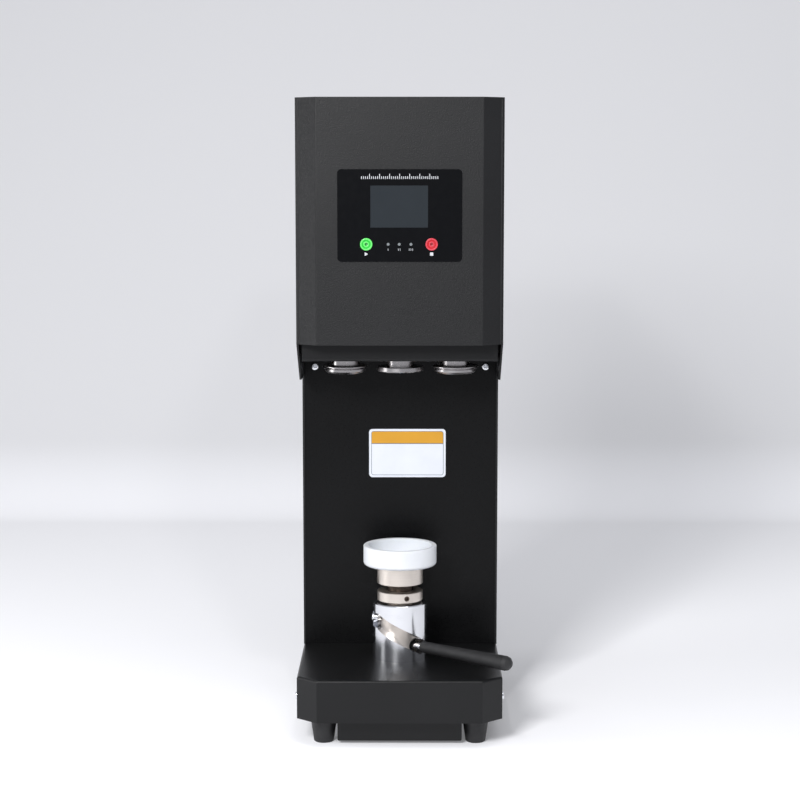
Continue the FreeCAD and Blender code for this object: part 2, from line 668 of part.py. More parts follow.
def drive_belt():
    inner = PULLEY_R + BODY_GAP
    height = (PULLEY_Z[0] + 3, PULLEY_Z[1] - 3)
    outside = link((0, CAN_Y), inner + 2, (0, MOTOR_Y), inner + 2, height)
    return outside.cut(link((0, CAN_Y), inner, (0, MOTOR_Y), inner, height))


def motor_pulley():
    shaft = cylinder(0, MOTOR_Y, (PULLEY_Z[0] - 2, MOTOR_SHAFT_TOP), MOTOR_SHAFT_R)
    return pulley(MOTOR_Y, 3).fuse(shaft).removeSplitter()


def drive_motor():
    """An upright motor on the deck: flange, finned body and end bell."""
    low, high = DECK_TOP, TOP_Z - MOTOR_HEADROOM
    body_r, shell_r = 38.0, 35.0
    bore_r = MOTOR_SHAFT_R + BODY_GAP
    fins = 9
    pitch = (high - low - 37) / fins
    profile = [(bore_r, low), (body_r, low), (body_r, low + 8), (shell_r, low + 8)]
    for fin in range(fins):
        z = low + 14 + pitch * fin
        profile += [(shell_r, z), (shell_r + 2, z), (shell_r + 2, z + pitch / 3), (shell_r, z + pitch / 3)]
    profile += [(shell_r, high - 22), (body_r, high - 20), (body_r, high - 10), (body_r - 8, high),
                (0, high), (0, MOTOR_SHAFT_TOP + 2), (bore_r, MOTOR_SHAFT_TOP + 2)]
    return turned(0, MOTOR_Y, profile)


def feed_motor():
    """A gear motor that hangs under the deck with its shaft down: gearbox below, motor above."""
    low = DECK_Z - FEED_MOTOR_H
    gearbox_r, body_r, bore_r = 18.3, 17.3, FEED_SHAFT_R + BODY_GAP
    return turned(0, FEED_Y, [(bore_r, low), (gearbox_r, low), (gearbox_r, low + 22), (body_r, low + 23),
                              (body_r, DECK_Z), (0, DECK_Z), (0, low + 14), (bore_r, low + 14)])


def feed_cam():
    disc = cylinder(0, FEED_Y + CAM_OFFSET, (ARM_Z[0] + 0.5, ARM_Z[1] - 0.5), CAM_R)
    hub_top = DECK_Z - FEED_MOTOR_H - 2
    hub = cylinder(0, FEED_Y, (ARM_Z[1] - 0.5, hub_top), 9)
    shaft = cylinder(0, FEED_Y, (hub_top, hub_top + 15), FEED_SHAFT_R)
    return disc.multiFuse([hub, shaft]).removeSplitter()


def arm_pivots():
    low, flange_r = PLATE_Z + PLATE_T, 9.0
    journal = (ARM_Z[0] - BODY_GAP, ARM_Z[1] + BODY_GAP)
    profile = [(0, PLATE_Z), (PIN_R, PLATE_Z), (PIN_R, low), (flange_r, low), (flange_r, journal[0]),
               (PIN_R, journal[0]), (PIN_R, journal[1]), (flange_r, journal[1]),
               (flange_r, journal[1] + 4), (0, journal[1] + 4)]
    return [turned(s * PIVOT[0], PIVOT[1], profile) for s in (-1, 1)]


def roller_arm():
    """A two-armed lever: roller boss in front of the pivot, cam tail behind it."""
    front = link((ROLLER_X, CAN_Y), 13, PIVOT, 14, ARM_Z)
    tail = link(PIVOT, 14, TAIL, TAIL_R, ARM_Z)
    arm = front.fuse(tail).removeSplitter()
    return arm.cut([cylinder(*PIVOT, ARM_Z, PIN_R + RUNNING_FIT),
                    cylinder(ROLLER_X, CAN_Y, ARM_Z, PIN_HEAD_R)])


def roller_pin():
    """Shoulder pin: clamped in the arm, with a journal for the roller and a head that keeps it on."""
    seat = ROLLER_TOP + BODY_GAP
    head = (ROLLER_BOTTOM + 0.5, ROLLER_BOTTOM + ROLLER_SEAT - BODY_GAP)
    return turned(ROLLER_X, CAN_Y, [(0, head[0]), (PIN_HEAD_R, head[0]), (PIN_HEAD_R, head[1]),
                                    (PIN_R, head[1]), (PIN_R, seat), (PIN_HEAD_R, seat),
                                    (PIN_HEAD_R, ARM_Z[1]), (0, ARM_Z[1])])


def roller(disc_r, groove_depth):
    """Seaming roller: a hub, a thin upper lip, the seaming groove and a bevelled lower flange."""
    bore = PIN_R + RUNNING_FIT
    low = ROLLER_BOTTOM
    seat = low + ROLLER_SEAT
    flange_r = disc_r - 2
    groove_r = flange_r - groove_depth
    return turned(ROLLER_X, CAN_Y, [(bore, seat), (PIN_HEAD_R + 0.5, seat), (PIN_HEAD_R + 0.5, low),
                                    (flange_r - 3.5, low), (flange_r, low + 2.2), (flange_r, low + 4.6),
                                    (groove_r, low + 5.2), (groove_r, low + 5.8), (disc_r, low + 6.6),
                                    (disc_r, low + 7.4), (flange_r, low + 8.6), (16, low + 9),
                                    (16, ROLLER_TOP), (bore, ROLLER_TOP)])


def build():
    save("base_shell", base_shell())
    save("base_floor", base_floor())
    save("base_tray", base_tray())
    save("feet", *feet())
    save("base_side_screws", *base_side_screws())
    save("lift_sleeve", lift_sleeve())
    save("stop_screw", stop_screw())
    save("thrust_washer", thrust_washer())
    save("lift_shaft", lift_shaft())
    save("rod_bush", rod_bush())
    save("handle_rod", handle_rod())
    save("handle_grip", handle_grip())
    save("lock_collar", lock_collar())
    save("collar_screws", *collar_screws())
    save("cup_hub", cup_hub())
    save("can_cup", can_cup())
    save("column_front", column_front())
    save("column_posts", *column_posts())
    save("column_screws", *column_screws())
    save("side_plate_right", side_plate())
    save("side_plate_left", mirrored(side_plate()))
    save("rear_cover", rear_cover())
    save("rear_screws", *rear_screws())
    save("power_inlet", power_inlet())
    save("switch_frame", switch_frame())
    save("power_rocker", power_rocker())
    save("head_cover", head_cover())
    save("top_cover", top_cover())
    save("top_screws", *top_screws())
    save("control_overlay", control_overlay())
    save("display_window", display_window())
    save("control_board", control_board())
    save("board_standoffs", *board_standoffs())
    save("status_leds", *status_leds())
    save("start_button", push_button(BUTTON_X[0]))
    save("stop_button", push_button(BUTTON_X[1]))
    save("head_plate", head_plate())
    save("head_rails", *head_rails())
    save("deck_pillars", *deck_pillars())
    save("motor_deck", motor_deck())
    save("spindle_housing", spindle_housing())
    save("spindle", spindle())
    save("chuck", chuck())
    save("chuck_screw", chuck_screw())
    save("spindle_pulley", pulley(CAN_Y, SPINDLE_TOP_R))
    save("drive_belt", drive_belt())
    save("motor_pulley", motor_pulley())
    save("drive_motor", drive_motor())
    save("feed_motor", feed_motor())
    save("feed_cam", feed_cam())
    save("arm_pivots", *arm_pivots())
    save("right_arm", roller_arm())
    save("left_arm", mirrored(roller_arm()))
    save("right_pin", roller_pin())
    save("left_pin", mirrored(roller_pin()))
    save("right_roller", roller(24.0, 1.4))
    save("left_roller", mirrored(roller(23.0, 2.2)))


build()
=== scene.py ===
"""The looks of a desktop can seamer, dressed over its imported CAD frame. Metres, Z up, -Y is the front."""

import math

import bmesh
import bpy
from mathutils import Matrix, Vector

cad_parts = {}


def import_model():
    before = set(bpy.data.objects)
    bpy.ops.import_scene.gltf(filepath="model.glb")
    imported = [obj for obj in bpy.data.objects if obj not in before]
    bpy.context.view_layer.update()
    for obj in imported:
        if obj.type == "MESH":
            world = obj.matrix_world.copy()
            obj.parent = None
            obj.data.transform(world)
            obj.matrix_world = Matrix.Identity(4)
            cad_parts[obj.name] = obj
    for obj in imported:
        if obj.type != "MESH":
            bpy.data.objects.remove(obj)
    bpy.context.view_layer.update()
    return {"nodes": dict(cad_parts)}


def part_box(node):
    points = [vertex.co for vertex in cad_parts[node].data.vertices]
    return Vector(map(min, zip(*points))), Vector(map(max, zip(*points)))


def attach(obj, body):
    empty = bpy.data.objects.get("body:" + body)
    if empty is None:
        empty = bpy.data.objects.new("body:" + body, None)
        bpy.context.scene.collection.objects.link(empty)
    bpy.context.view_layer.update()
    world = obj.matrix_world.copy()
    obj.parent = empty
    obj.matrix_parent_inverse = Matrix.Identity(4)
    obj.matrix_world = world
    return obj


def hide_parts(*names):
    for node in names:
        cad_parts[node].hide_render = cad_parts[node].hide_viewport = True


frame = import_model()
NODES = frame["nodes"]
MM = 0.001

# places read from the frame
CUP_LOW, CUP_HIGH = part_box("can_cup")
CAN_AXIS = Vector(((CUP_LOW.x + CUP_HIGH.x) / 2, (CUP_LOW.y + CUP_HIGH.y) / 2, 0))
HUB_LOW, HUB_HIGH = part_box("cup_hub")
COLLAR_LOW, COLLAR_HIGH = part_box("lock_collar")
PANEL_LOW, PANEL_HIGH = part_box("control_overlay")
WINDOW_LOW, WINDOW_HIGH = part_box("display_window")
COLUMN_LOW, COLUMN_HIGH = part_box("column_front")


def middle(node):
    low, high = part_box(node)
    return (low + high) / 2


# ---------------------------------------------------------------- materials

class Shader:
    """A Principled material and the few node moves that every finish here uses."""

    def __init__(self, name, color, roughness, metallic=0.0, **sockets):
        self.material = bpy.data.materials.new(name)
        self.material.use_nodes = True
        self.tree = self.material.node_tree
        self.bsdf = self.tree.nodes["Principled BSDF"]
        self.bsdf.inputs["Base Color"].default_value = (*color, 1)
        self.bsdf.inputs["Roughness"].default_value = roughness
        self.bsdf.inputs["Metallic"].default_value = metallic
        for socket, value in sockets.items():
            self.bsdf.inputs[socket.replace("_", " ")].default_value = value
        self.height = None

    def node(self, kind, **settings):
        made = self.tree.nodes.new(kind)
        for key, value in settings.items():
            if key in made.inputs:
                made.inputs[key].default_value = value
            else:
                setattr(made, key, value)
        return made

    def link(self, start, end):
        self.tree.links.new(start, end)

    def place(self, stretch=(1, 1, 1)):
        """Object coordinates, which are the frame's metres, stretched along each axis."""
        coords = self.node("ShaderNodeTexCoord")
        mapping = self.node("ShaderNodeMapping")
        mapping.inputs["Scale"].default_value = stretch
        self.link(coords.outputs["Object"], mapping.inputs["Vector"])
        return mapping.outputs["Vector"]

    def noise(self, scale, detail=2.0, stretch=(1, 1, 1), rough=0.5):
        texture = self.node("ShaderNodeTexNoise", Scale=scale, Detail=detail, Roughness=rough)
        self.link(self.place(stretch), texture.inputs["Vector"])
        return texture.outputs["Fac"]

    def ramp(self, factor, *stops):
        made = self.node("ShaderNodeValToRGB")
        elements = made.color_ramp.elements
        while len(elements) < len(stops):
            elements.new(0.5)
        for element, (place, color) in zip(elements, stops):
            element.position = place
            element.color = (*color, 1) if isinstance(color, tuple) else (color, color, color, 1)
        self.link(factor, made.inputs["Fac"])
        return made.outputs["Color"]

    def vary(self, socket, factor, *stops):
        self.link(self.ramp(factor, *stops), self.bsdf.inputs[socket])

    def bump(self, factor, strength, distance):
        made = self.node("ShaderNodeBump", Strength=strength, Distance=distance)
        self.link(factor, made.inputs["Height"])
        if self.height is not None:
            self.link(self.height, made.inputs["Normal"])
        self.height = made.outputs["Normal"]
        self.link(self.height, self.bsdf.inputs["Normal"])
        return self


def shade(value, tint=(1.0, 1.0, 1.0)):
    return tuple(value * t for t in tint)


def powder_coat(name, level, roughness, gloss, grain, depth):
    """Black powder paint: orange peel over a faint cloudiness, with a fine sparkle in its gloss."""
    tint = (0.96, 0.98, 1.08)
    s = Shader(name, shade(level, tint), roughness, Specular_IOR_Level=gloss)
    s.vary("Base Color", s.noise(9, 3), (0.3, shade(level * 0.8, tint)), (0.7, shade(level * 1.25, tint)))
    s.vary("Roughness", s.noise(grain * 0.4, 2), (0.35, roughness - 0.05), (0.65, roughness + 0.08))
    s.bump(s.noise(grain, 2), 1.0, depth)
    s.bump(s.noise(grain * 2.4, 1), 0.5, depth * 0.4)
    return s.material


def turned_metal(name, color, roughness, rings):
    """Metal off a lathe: fine rings across the turning axis, smudges in its gloss."""
    s = Shader(name, color, roughness, 1.0)
    lines = s.noise(1.0, 2, stretch=(6, 6, rings))
    s.vary("Roughness", s.noise(60, 3), (0.3, roughness * 0.8), (0.75, min(1.0, roughness * 1.35)))
    s.vary("Base Color", lines, (0.3, shade(0.93, color)), (0.7, color))
    s.bump(lines, 0.25, 0.00006)
    return s.material


def polished_metal(name, color, roughness):
    s = Shader(name, color, roughness, 1.0)
    s.vary("Roughness", s.noise(90, 3), (0.35, roughness * 0.7), (0.8, roughness * 1.5))
    s.bump(s.noise(14, 2), 0.12, 0.0004)
    return s.material


def sheet_steel(name, level, roughness):
    """Zinc-plated plate with a rolled direction."""
    warm, cool = (1.0, 0.99, 0.95), (1.0, 1.0, 0.98)
    s = Shader(name, shade(level, warm), roughness, 1.0)
    grain = s.noise(1.0, 3, stretch=(900, 40, 40))
    s.vary("Roughness", grain, (0.3, roughness - 0.08), (0.7, roughness + 0.08))
    s.vary("Base Color", s.noise(22, 3), (0.3, shade(level * 0.85, warm)), (0.7, shade(level, cool)))
    s.bump(grain, 0.2, 0.00005)
    return s.material


def plastic(name, color, roughness, grain, depth, **sockets):
    s = Shader(name, color, roughness, **sockets)
    s.vary("Base Color", s.noise(35, 3), (0.3, shade(0.93, color)), (0.7, color))
    s.vary("Roughness", s.noise(140, 2), (0.35, roughness * 0.88), (0.7, roughness * 1.12))
    s.bump(s.noise(grain, 2), 0.6, depth)
    return s.material


def painted_glow_plastic(name, color, glow):
    # Glossy plastic with an emission of its own. On the button caps this glow is painted light, as the buttons are
    # no lamps; the lamp lenses get none.
    s = Shader(name, color, 0.28, Coat_Weight=0.5, Coat_Roughness=0.1)
    s.bsdf.inputs["Emission Color"].default_value = (*color, 1)
    s.bsdf.inputs["Emission Strength"].default_value = glow
    s.bump(s.noise(900, 1), 0.2, 0.00002)
    return s.material


def dress(material, *nodes):
    for name in nodes:
        for slot in NODES[name].material_slots:
            slot.material = material


COAT = powder_coat("head_coat", 0.0075, 0.46, 0.34, 900, 0.00022)
COAT_SMOOTH = powder_coat("base_coat", 0.0050, 0.34, 0.30, 2600, 0.00004)
COAT_COLUMN = powder_coat("column_coat", 0.0028, 0.32, 0.16, 2600, 0.00003)
RUBBER = plastic("black_rubber", (0.014, 0.014, 0.015), 0.58, 1800, 0.00006)
CHROME = polished_metal("chrome", (0.74, 0.75, 0.78), 0.17)
BRIGHT = polished_metal("bright_zinc", (0.80, 0.81, 0.84), 0.20)
SATIN = turned_metal("satin_turned_steel", (0.74, 0.68, 0.62), 0.36, 5200)
# Dark steel: black oxide on the collar's set screws, and painted shade on the stem thread between hub and collar.
OXIDE_AND_SHADE_STEEL = turned_metal("oxide_steel_and_painted_shade", (0.105, 0.082, 0.068), 0.38, 5200)
ROLLER = turned_metal("ground_steel", (0.50, 0.48, 0.48), 0.26, 4200)
ALU = turned_metal("machined_aluminium", (0.74, 0.75, 0.76), 0.34, 2600)
ZINC = sheet_steel("zinc_plate", 0.60, 0.36)
CUP = plastic("cup_plastic", (0.82, 0.84, 0.87), 0.42, 700, 0.00004,
              Subsurface_Weight=0.15, Subsurface_Radius=(0.004, 0.004, 0.005))
# Blue-grey for the disc on the cup's floor: painted shade for the cup's inside.
CUP_FLOOR_SHADE = plastic("cup_floor_painted_shade", (0.55, 0.63, 0.69), 0.55, 900, 0.00006)
PANEL = plastic("panel_film", (0.0016, 0.0018, 0.0026), 0.20, 500, 0.00001, Specular_IOR_Level=0.18)
SCREEN = plastic("screen_glass", (0.021, 0.026, 0.031), 0.12, 400, 0.000006, Specular_IOR_Level=0.3)
BOARD = plastic("board_green", (0.01, 0.09, 0.045), 0.4, 1200, 0.00003)
BRASS = turned_metal("brass", (0.80, 0.60, 0.28), 0.28, 4000)
BLACK = plastic("black_plastic", (0.012, 0.012, 0.013), 0.42, 1600, 0.00004, Specular_IOR_Level=0.35)
INK = plastic("white_ink", (0.62, 0.63, 0.66), 0.55, 900, 0.00001)
INK_DIM = plastic("grey_ink", (0.34, 0.35, 0.37), 0.55, 900, 0.00001)
# Button caps: each cap's glow is painted light, each rim tone a lighter painted highlight, each dimple tone a
# darker painted shade.
GREEN = painted_glow_plastic("green_cap", (0.012, 0.50, 0.035), 0.10)
GREEN_RIM_PAINTED_HIGHLIGHT = painted_glow_plastic("green_rim_painted_highlight", (0.12, 0.66, 0.13), 0.16)
GREEN_DIMPLE_PAINTED_SHADE = painted_glow_plastic("green_dimple_painted_shade", (0.0, 0.20, 0.02), 0.0)
RED = painted_glow_plastic("red_cap", (0.50, 0.004, 0.012), 0.10)
RED_RIM_PAINTED_HIGHLIGHT = painted_glow_plastic("red_rim_painted_highlight", (0.56, 0.045, 0.065), 0.14)
RED_DIMPLE_PAINTED_SHADE = painted_glow_plastic("red_dimple_painted_shade", (0.24, 0.0, 0.006), 0.0)
LED = painted_glow_plastic("led_lens", (0.20, 0.22, 0.23), 0.0)
PLATE_WHITE = plastic("plate_white", (0.80, 0.83, 0.90), 0.38, 700, 0.00001)
PLATE_AMBER = plastic("plate_amber", (0.70, 0.34, 0.020), 0.38, 700, 0.00001)
PLATE_LINE = plastic("plate_line", (0.16, 0.20, 0.22), 0.5, 700, 0.00001)

dress(COAT, "head_cover", "top_cover", "side_plate_left", "side_plate_right", "rear_cover")
dress(COAT_SMOOTH, "base_shell", "base_floor", "base_tray", "head_plate", "head_rails")
dress(COAT_COLUMN, "column_front")
dress(RUBBER, "feet", "handle_grip", "drive_belt")
dress(CHROME, "lift_sleeve", "handle_rod", "stop_screw")
dress(BRIGHT, "base_side_screws", "rear_screws", "top_screws", "column_screws")
dress(SATIN, "lift_shaft", "lock_collar", "cup_hub", "thrust_washer", "spindle", "spindle_housing",
      "arm_pivots", "left_pin", "right_pin", "chuck_screw")
dress(OXIDE_AND_SHADE_STEEL, "collar_screws")
dress(ROLLER, "chuck", "left_roller", "right_roller", "feed_cam", "left_arm", "right_arm")
dress(ALU, "spindle_pulley", "motor_pulley", "drive_motor")
dress(ZINC, "column_posts", "deck_pillars", "motor_deck", "feed_motor")
dress(CUP, "can_cup")
dress(PANEL, "control_overlay")
dress(SCREEN, "display_window")
dress(BOARD, "control_board")
dress(BRASS, "board_standoffs")
dress(LED, "status_leds")
dress(GREEN, "start_button")
dress(RED, "stop_button")
dress(BLACK, "rod_bush", "power_inlet", "switch_frame", "power_rocker")


# ---------------------------------------------------------------- pieces

def finish_piece(name, mesh_data, materials, body, smooth_angle=35):
    """A bmesh becomes a piece that rides on a body."""
    mesh = bpy.data.meshes.new(name)
    bmesh.ops.recalc_face_normals(mesh_data, faces=mesh_data.faces)
    mesh_data.to_mesh(mesh)
    mesh_data.free()
    for material in materials:
        mesh.materials.append(material)
    for face in mesh.polygons:
        face.use_smooth = True
    mesh.set_sharp_from_angle(angle=math.radians(smooth_angle))
    piece = bpy.data.objects.new(name, mesh)
    bpy.context.scene.collection.objects.link(piece)
    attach(piece, body)
    return piece


def lathe(data, profile, segments=48, rings=None):
    """Adds a turned form about Z to a bmesh. rings gives a material to each stretch of the profile."""
    loops = []
    for radius, z in profile:
        if radius < 1e-7:
            loops.append([data.verts.new((0, 0, z))])
            continue
        turn = [2 * math.pi * i / segments for i in range(segments)]
        loops.append([data.verts.new((radius * math.cos(a), radius * math.sin(a), z)) for a in turn])
    made = []
    for index, (low, high) in enumerate(zip(loops, loops[1:])):
        for i in range(segments):
            j = (i + 1) % segments
            corners = [low[i % len(low)], low[j % len(low)], high[j % len(high)], high[i % len(high)]]
            unique = list(dict.fromkeys(corners))
            if len(unique) < 3:
                continue
            face = data.faces.new(unique)
            face.material_index = rings[index] if rings else 0
            made.append(face)
    return made


def prism_xz(data, corners, front, back, slot=0):
    """Adds a flat outline in x, z that stands from y=back out to y=front."""
    near = [data.verts.new((x, front, z)) for x, z in corners]
    far = [data.verts.new((x, back, z)) for x, z in corners]
    faces = [data.faces.new(near), data.faces.new(far[::-1])]
    count = len(corners)
    for i in range(count):
        j = (i + 1) % count
        faces.append(data.faces.new((near[i], far[i], far[j], near[j])))
    for face in faces:
        face.material_index = slot


def rounded(x, z, radius, steps=6):
    """The corners of a rectangle with rounded corners."""
    points = []
    for cx, cz, start in ((x[1] - radius, z[1] - radius, 0), (x[0] + radius, z[1] - radius, 90),
                          (x[0] + radius, z[0] + radius, 180), (x[1] - radius, z[0] + radius, 270)):
        for i in range(steps + 1):
            a = math.radians(start + 90 * i / steps)
            points.append((cx + radius * math.cos(a), cz + radius * math.sin(a)))
    return points


def frame_xz(data, outer, inner, front, back, slot=0):
    """Adds a band between two outlines of the same count."""
    rings = [[data.verts.new((x, y, z)) for x, z in outline]
             for outline, y in ((outer, front), (inner, front), (inner, back), (outer, back))]
    count = len(outer)
    for a, b in zip(rings, rings[1:] + rings[:1]):
        for i in range(count):
            j = (i + 1) % count
            data.faces.new((a[i], a[j], b[j], b[i])).material_index = slot


# screws

def cross_head(radius, height):
    """A pan head with a tapered cross recess, on Z, its seat at 0. Returns a mesh."""
    data = bmesh.new()
    crown = 0.5 * height
    profile = [(0, 0), (radius * 0.96, 0), (radius, 0.08 * height), (radius, height - crown)]
    for i in range(1, 6):
        a = math.radians(90 * i / 5)
        profile.append((radius * (0.72 + 0.28 * math.cos(a)), height - crown * (1 - math.sin(a)) * 0.98))
    profile += [(radius * 0.4, height * 1.02), (0, height * 1.025)]
    lathe(data, profile, 40)
    mesh = bpy.data.meshes.new("cross_head")
    bmesh.ops.recalc_face_normals(data, faces=data.faces)
    data.to_mesh(mesh)
    data.free()
    head = bpy.data.objects.new("cross_head", mesh)
    bpy.context.scene.collection.objects.link(head)
    cutters = []
    for turn in (0, 90):
        bar = bmesh.new()
        bmesh.ops.create_cube(bar, size=1.0)
        for vert in bar.verts:
            top = vert.co.z > 0
            vert.co.x *= radius * (1.30 if top else 0.55)
            vert.co.y *= radius * (0.30 if top else 0.16)
            vert.co.z = height * (1.2 if top else 0.35)
        bmesh.ops.rotate(bar, verts=bar.verts, cent=(0, 0, 0), matrix=Matrix.Rotation(math.radians(turn), 3, "Z"))
        cutter_mesh = bpy.data.meshes.new("recess")
        bar.to_mesh(cutter_mesh)
        bar.free()
        cutter = bpy.data.objects.new("recess", cutter_mesh)
        bpy.context.scene.collection.objects.link(cutter)
        cut = head.modifiers.new("recess", "BOOLEAN")
        cut.operation, cut.solver, cut.object = "DIFFERENCE", "EXACT", cutter
        cutters.append(cutter)
    graph = bpy.context.evaluated_depsgraph_get()
    made = bpy.data.meshes.new_from_object(head.evaluated_get(graph))
    for extra in [head] + cutters:
        bpy.data.objects.remove(extra)
    return made


def solids_of(node):
    """The loose parts of a CAD node, as lists of points."""
    data = bmesh.new()
    data.from_mesh(NODES[node].data)
    bmesh.ops.remove_doubles(data, verts=data.verts, dist=1e-6)
    left, parts = set(data.verts), []
    while left:
        front = [left.pop()]
        found = list(front)
        while front:
            for edge in front.pop().link_edges:
                for vert in edge.verts:
                    if vert in left:
                        left.remove(vert)
                        front.append(vert)
                        found.append(vert)
        parts.append([vert.co.copy() for vert in found])
    data.free()
    return parts


def screw_heads(node, way, body="frame"):
    """Cross-head screws over a CAD node's plain ones. way gives each head's outward direction."""
    data = bmesh.new()
    for index, points in enumerate(solids_of(node)):
        low = Vector(min(p[i] for p in points) for i in range(3))
        high = Vector(max(p[i] for p in points) for i in range(3))
        out = way((low + high) / 2)
        axis = max(range(3), key=lambda i: abs(out[i]))
        span = [i for i in range(3) if i != axis]
        radius = (high[span[0]] - low[span[0]]) / 2
        seat = (low + high) / 2
        height = 0.7 * radius
        tip = high[axis] if out[axis] > 0 else low[axis]
        seat[axis] = tip - out[axis] * height
        turn = Vector((0, 0, 1)).rotation_difference(out).to_matrix().to_4x4()
        twist = Matrix.Rotation(0.7 + 1.9 * index, 4, "Z")
        copy = bmesh.new()
        copy.from_mesh(HEAD)
        bmesh.ops.transform(copy, matrix=Matrix.Translation(seat) @ turn @ twist @ Matrix.Scale(radius, 4),
                            verts=copy.verts)
        part = bpy.data.meshes.new("head")
        copy.to_mesh(part)
        copy.free()
        data.from_mesh(part)
        bpy.data.meshes.remove(part)
    piece = finish_piece(node.rstrip("s") + "_heads", data, [BRIGHT], body, 30)
    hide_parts(node)


HEAD = cross_head(1.0, 0.7)
screw_heads("column_screws", lambda at: Vector((0, -1, 0)))
screw_heads("base_side_screws", lambda at: Vector((math.copysign(1, at.x), 0, 0)))
screw_heads("rear_screws", lambda at: Vector((0, 1, 0)))


# lift column

def stem_thread():
    """The thread that shows between the lock collar and the hub; its dark steel is painted shade for that shaded
    gap.
    """
    root, crest, pitch = 13.25 * MM, 13.95 * MM, 1.5 * MM
    low, high = COLLAR_HIGH.z - 2 * pitch, HUB_LOW.z + 0.4 * MM
    steps = 48
    turns = (high - low) / pitch
    data = bmesh.new()
    rows = []
    for i in range(int(turns * steps) + 1):
        a = 2 * math.pi * i / steps
        z = low + pitch * i / steps
        row = []
        for share, radius in ((0.0, root), (0.38, root), (0.56, crest), (0.68, crest), (0.86, root), (1.0, root)):
            row.append(data.verts.new((CAN_AXIS.x + radius * math.cos(a), CAN_AXIS.y + radius * math.sin(a),
                                       z + share * pitch)))
        rows.append(row)
    for a, b in zip(rows, rows[1:]):
        for i in range(len(a) - 1):
            data.faces.new((a[i], b[i], b[i + 1], a[i + 1]))
    finish_piece("stem_thread", data, [OXIDE_AND_SHADE_STEEL], "lift", 60)


def cup_floor_painted_shade():
    """A grooved disc on the cup's floor, blue-grey and darker than the cup: painted shade for the cup's shaded
    inside.
    """
    radius, thick = 21.4 * MM, 0.9 * MM
    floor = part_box("can_cup")[0].z + 4.6 * MM
    profile = [(0, 0), (radius, 0), (radius, thick * 0.7), (radius - 0.3 * MM, thick)]
    grooves = 4
    for i in range(grooves):
        r = radius * (0.86 - 0.19 * i)
        profile += [(r, thick), (r - 0.3 * MM, thick - 0.35 * MM), (r - 0.9 * MM, thick - 0.35 * MM),
                    (r - 1.2 * MM, thick)]
    profile.append((0, thick))
    data = bmesh.new()
    lathe(data, profile, 72)
    bmesh.ops.translate(data, verts=data.verts, vec=(CAN_AXIS.x, CAN_AXIS.y, floor))
    finish_piece("cup_floor_painted_shade_disc", data, [CUP_FLOOR_SHADE], "can_seat")


stem_thread()
cup_floor_painted_shade()


# control panel

PANEL_FACE = PANEL_LOW.y
PANEL_X = (PANEL_LOW.x + PANEL_HIGH.x) / 2
INK_T = 0.06 * MM


def push_cap(node, name, body, painted_light_tones):
    """A button face: rim, sunk ring, raised ring and a dimple; the rim's lighter tone is a painted highlight and
    the dimple's darker tone painted shade.
    """
    low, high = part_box(node)
    centre = (low + high) / 2
    radius = 6.2 * MM
    reach = PANEL_FACE - low.y
    profile = [(radius, -2.0 * MM), (radius, reach * 0.75), (radius * 0.97, reach), (radius * 0.86, reach * 1.12),
               (radius * 0.74, reach), (radius * 0.70, reach * 0.55), (radius * 0.50, reach * 0.50),
               (radius * 0.46, reach * 0.85), (radius * 0.38, reach * 0.95), (radius * 0.27, reach * 0.85),
               (radius * 0.22, reach * 0.45), (radius * 0.12, reach * 0.30), (0, reach * 0.25)]
    rings = [0, 0, 0, 0, 1, 1, 1, 0, 0, 1, 2, 2]
    data = bmesh.new()
    lathe(data, profile, 56, rings)
    turn = Matrix.Rotation(math.radians(90), 4, "X")
    bmesh.ops.transform(data, matrix=Matrix.Translation((centre.x, PANEL_FACE, centre.z)) @ turn, verts=data.verts)
    piece = finish_piece(name, data, painted_light_tones, body, 40)
    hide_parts(node)


def tick(data, x, z, width, height):
    corners = [(x - width / 2, z), (x + width / 2, z), (x + width / 2, z + height), (x - width / 2, z + height)]
    prism_xz(data, corners, PANEL_FACE - INK_T, PANEL_FACE + INK_T)


def panel_marks():
    """Plain printed marks: a graduated rule on top and signs under the buttons."""
    data = bmesh.new()
    step, base = 2.0 * MM, PANEL_HIGH.z - 9.6 * MM
    for i in range(-19, 20):
        height = (5.0 if i % 5 == 0 else 2.6) * MM
        tick(data, PANEL_X + i * step, base, 0.7 * MM, height)
    start, stop = middle("start_button"), middle("stop_button")
    drop = 9.7 * MM
    size = 1.9 * MM
    prism_xz(data, [(start.x - size * 0.8, start.z - drop - size), (start.x + size, start.z - drop),
                    (start.x - size * 0.8, start.z - drop + size)], PANEL_FACE - INK_T, PANEL_FACE + INK_T)
    tick(data, stop.x, stop.z - drop - size * 0.85, size * 1.7, size * 1.7)
    finish_piece("panel_marks", data, [INK], "frame")


def lamp_marks():
    data = bmesh.new()
    height = 2.2 * MM
    for count, points in enumerate(sorted(solids_of("status_leds"), key=lambda p: p[0].x), 1):
        centre = sum((p.x for p in points), 0.0) / len(points)
        level = min(p.z for p in points) - 5.0 * MM
        for i in range(count):
            tick(data, centre + (i - (count - 1) / 2) * 1.7 * MM, level, 0.65 * MM, height)
    finish_piece("lamp_marks", data, [INK_DIM], "frame")


def screen_bezel():
    """The thin lip between the film and the display's glass."""
    x, z = (WINDOW_LOW.x, WINDOW_HIGH.x), (WINDOW_LOW.z, WINDOW_HIGH.z)
    lip = 0.5 * MM
    outer = rounded((x[0] - lip, x[1] + lip), (z[0] - lip, z[1] + lip), 1.0 * MM)
    inner = rounded((x[0] + lip * 0.4, x[1] - lip * 0.4), (z[0] + lip * 0.4, z[1] - lip * 0.4), 0.6 * MM)
    data = bmesh.new()
    frame_xz(data, outer, inner, PANEL_FACE - 0.12 * MM, PANEL_FACE + 0.5 * MM)
    finish_piece("screen_bezel", data, [PANEL], "frame")


